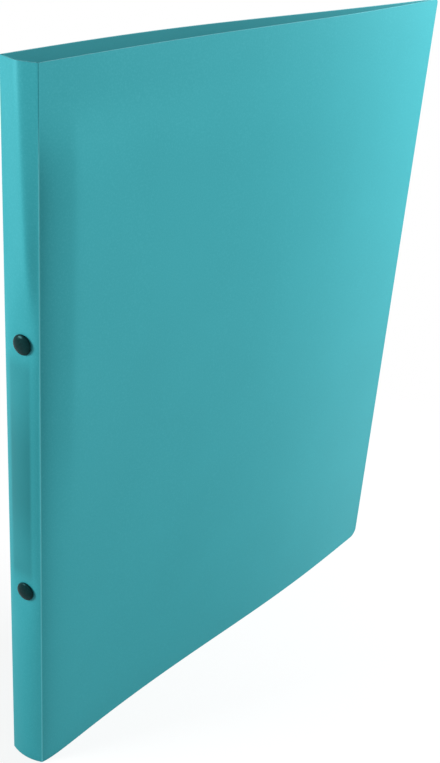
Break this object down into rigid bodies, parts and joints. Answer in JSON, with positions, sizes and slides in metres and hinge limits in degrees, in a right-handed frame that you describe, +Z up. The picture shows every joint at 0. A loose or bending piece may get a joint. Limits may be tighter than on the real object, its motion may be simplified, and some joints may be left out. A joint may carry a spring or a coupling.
{
  "type": "two-ring binder",
  "caption": "Slim upright A4 ring binder: a creased translucent plastic sheet with a riveted snap ring mechanism on its bowed spine.",
  "frame": {"origin": "middle of the plan of the closed binder, on the surface that it stands on", "axes": "+X from the spine to the fore-edge, +Y from the front cover to the back cover, +Z up along the spine"},
  "size_m": [0.2616, 0.0206, 0.32],
  "materials": {
    "polypropylene": "translucent teal sheet with a fine matt grain",
    "black_enamel": "glossy black enamel",
    "nickel": "bright nickel plate"
  },
  "bodies": {
    "spine": {"spine_panel": "polypropylene", "front_living_hinge": "polypropylene", "rear_living_hinge": "polypropylene", "mechanism_housing": "nickel", "upper_rivet": "black_enamel", "lower_rivet": "black_enamel"},
    "front_cover": {"front_cover": "polypropylene"},
    "back_cover": {"back_cover": "polypropylene"},
    "front_ring_set": {"front_hinge_plate": "nickel", "upper_front_half_ring": "nickel", "lower_front_half_ring": "nickel"},
    "rear_ring_set": {"rear_hinge_plate": "nickel", "upper_rear_half_ring": "nickel", "lower_rear_half_ring": "nickel"}
  },
  "joints": [
    {"name": "front_cover_hinge", "type": "hinge", "parent": "spine", "child": "front_cover", "pos_m": [-0.12615, -0.00804, 0.16], "axis": [0, 0, -1], "range_deg": [0, 175]},
    {"name": "back_cover_hinge", "type": "hinge", "parent": "spine", "child": "back_cover", "pos_m": [-0.12855, 0.00899, 0.16], "axis": [0, 0, 1], "range_deg": [0, 175]},
    {"name": "front_ring_pivot", "type": "hinge", "parent": "spine", "child": "front_ring_set", "pos_m": [-0.12477, -0.00543, 0.156], "axis": [0, 0, -1], "range_deg": [0, 13.5]},
    {"name": "rear_ring_pivot", "type": "hinge", "parent": "spine", "child": "rear_ring_set", "pos_m": [-0.12616, 0.00448, 0.156], "axis": [0, 0, 1], "range_deg": [0, 13.5]}
  ],
  "couplings": [
    {"joint": "rear_ring_pivot", "follows": "front_ring_pivot", "ratio": 1}
  ]
}
